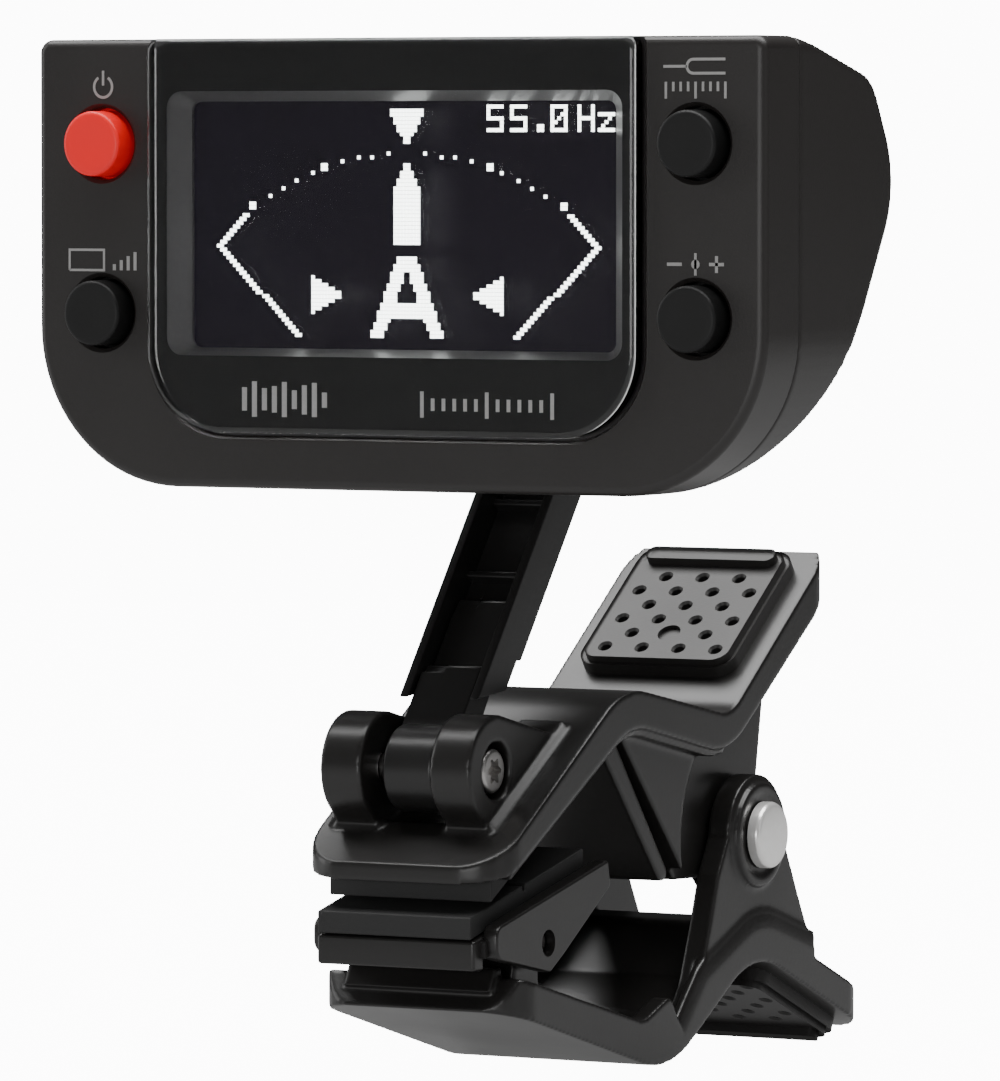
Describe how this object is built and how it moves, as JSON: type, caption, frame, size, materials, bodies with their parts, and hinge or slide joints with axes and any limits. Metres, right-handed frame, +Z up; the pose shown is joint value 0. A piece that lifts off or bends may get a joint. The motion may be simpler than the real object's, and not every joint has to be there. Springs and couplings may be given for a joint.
{
  "type": "clip-on instrument tuner",
  "caption": "Clip-on tuner: a wide display unit with push buttons on a folding arm, carried by a sprung two-lever clip with a self-aligning jaw.",
  "frame": {"origin": "centre of the upper jaw's flat rubber grip face, which meets the thing that the clip holds", "axes": "+X across the clip to the right as seen from the display side, +Y back from the display towards the finger pads, +Z up"},
  "size_m": [0.0611, 0.0599, 0.0772],
  "materials": {
    "case_plastic": "fine-textured charcoal ABS housing",
    "clip_plastic": "satin charcoal moulded plastic of the levers",
    "arm_plastic": "satin black moulded plastic of the arm and yoke",
    "finger_pad": "soft-touch charcoal finger pad with a grid of dimples",
    "grip_rubber": "matte black rubber grip",
    "lens": "gloss black acrylic window, clear over the display",
    "bezel": "grey chamfered frame round the screen",
    "display": "near-black display panel with white graphics",
    "circuit_board": "green solder-masked circuit board",
    "cell_jacket": "plain grey cell jacket",
    "spring_steel": "drawn spring steel",
    "screw_steel": "zinc-plated screw steel",
    "pin_steel": "turned steel, faced end",
    "switch_metal": "stamped switch cover",
    "sensor_brass": "brass sensor disc",
    "power_red": "matte red button",
    "button_black": "matte black button"
  },
  "bodies": {
    "upper_lever": {"upper_lever": "clip_plastic", "upper_grip_pad": "grip_rubber", "upper_finger_pad": "finger_pad", "arm_screw": "screw_steel"},
    "lower_lever": {"lower_lever": "clip_plastic", "lower_finger_pad": "finger_pad", "pivot_pin": "pin_steel", "torsion_spring": "spring_steel", "rocker_pin": "pin_steel"},
    "rocker": {"rocker_jaw": "clip_plastic", "rocker_grip_pad": "grip_rubber"},
    "arm": {"arm_channel": "arm_plastic", "arm_core": "arm_plastic"},
    "yoke": {"swivel_yoke": "arm_plastic", "tilt_pin": "pin_steel", "swivel_screw": "screw_steel", "swivel_washer": "spring_steel"},
    "head": {"front_case": "case_plastic", "rear_cover": "case_plastic", "display_lens": "lens", "display_bezel": "bezel", "oled_module": "display", "circuit_board": "circuit_board", "battery_cell": "cell_jacket", "contact_plate": "spring_steel", "contact_spring": "spring_steel", "piezo_sensor": "sensor_brass", "case_screw_left": "screw_steel", "case_screw_right": "screw_steel", "power_switch": "switch_metal", "display_switch": "switch_metal", "tuning_switch": "switch_metal", "calibration_switch": "switch_metal"},
    "battery_door": {"battery_door": "case_plastic"},
    "power_button": {"power_button": "power_red"},
    "display_button": {"display_button": "button_black"},
    "tuning_button": {"tuning_button": "button_black"},
    "calibration_button": {"calibration_button": "button_black"}
  },
  "joints": [
    {"name": "jaw_open", "type": "hinge", "parent": "upper_lever", "child": "lower_lever", "pos_m": [0, 0.0332, -0.0008], "axis": [1, 0, 0], "range_deg": [0, 28], "stiffness_Nm_per_rad": 0.4, "springref_deg": -20.05, "deforming": ["torsion_spring"]},
    {"name": "rocker_tilt", "type": "hinge", "parent": "lower_lever", "child": "rocker", "pos_m": [0, 0.0012, -0.0066], "axis": [1, 0, 0], "range_deg": [0, 10]},
    {"name": "arm_hinge", "type": "hinge", "parent": "upper_lever", "child": "arm", "pos_m": [-0.00065, -0.0028, 0.0062], "axis": [1, 0, 0], "range_deg": [-18, 45]},
    {"name": "head_tilt", "type": "hinge", "parent": "arm", "child": "yoke", "pos_m": [-0.00065, 0.01743, 0.03227], "axis": [1, 0, 0], "range_deg": [-40, 8]},
    {"name": "head_swivel", "type": "hinge", "parent": "yoke", "child": "head", "pos_m": [-0.00065, 0.0096, 0.0341], "axis": [0, 1, 0], "range_deg": [-45, 45]},
    {"name": "battery_door_slide", "type": "slide", "parent": "head", "child": "battery_door", "axis": [-1, 0, 0], "range_m": [0, 0.01]},
    {"name": "power_press", "type": "slide", "parent": "head", "child": "power_button", "axis": [0, 1, 0], "range_m": [0, 0.0004], "stiffness_N_per_m": 1500, "springref_m": -0.0006},
    {"name": "display_press", "type": "slide", "parent": "head", "child": "display_button", "axis": [0, 1, 0], "range_m": [0, 0.0004], "stiffness_N_per_m": 1500, "springref_m": -0.0006},
    {"name": "tuning_press", "type": "slide", "parent": "head", "child": "tuning_button", "axis": [0, 1, 0], "range_m": [0, 0.0004], "stiffness_N_per_m": 1500, "springref_m": -0.0006},
    {"name": "calibration_press", "type": "slide", "parent": "head", "child": "calibration_button", "axis": [0, 1, 0], "range_m": [0, 0.0004], "stiffness_N_per_m": 1500, "springref_m": -0.0006}
  ]
}
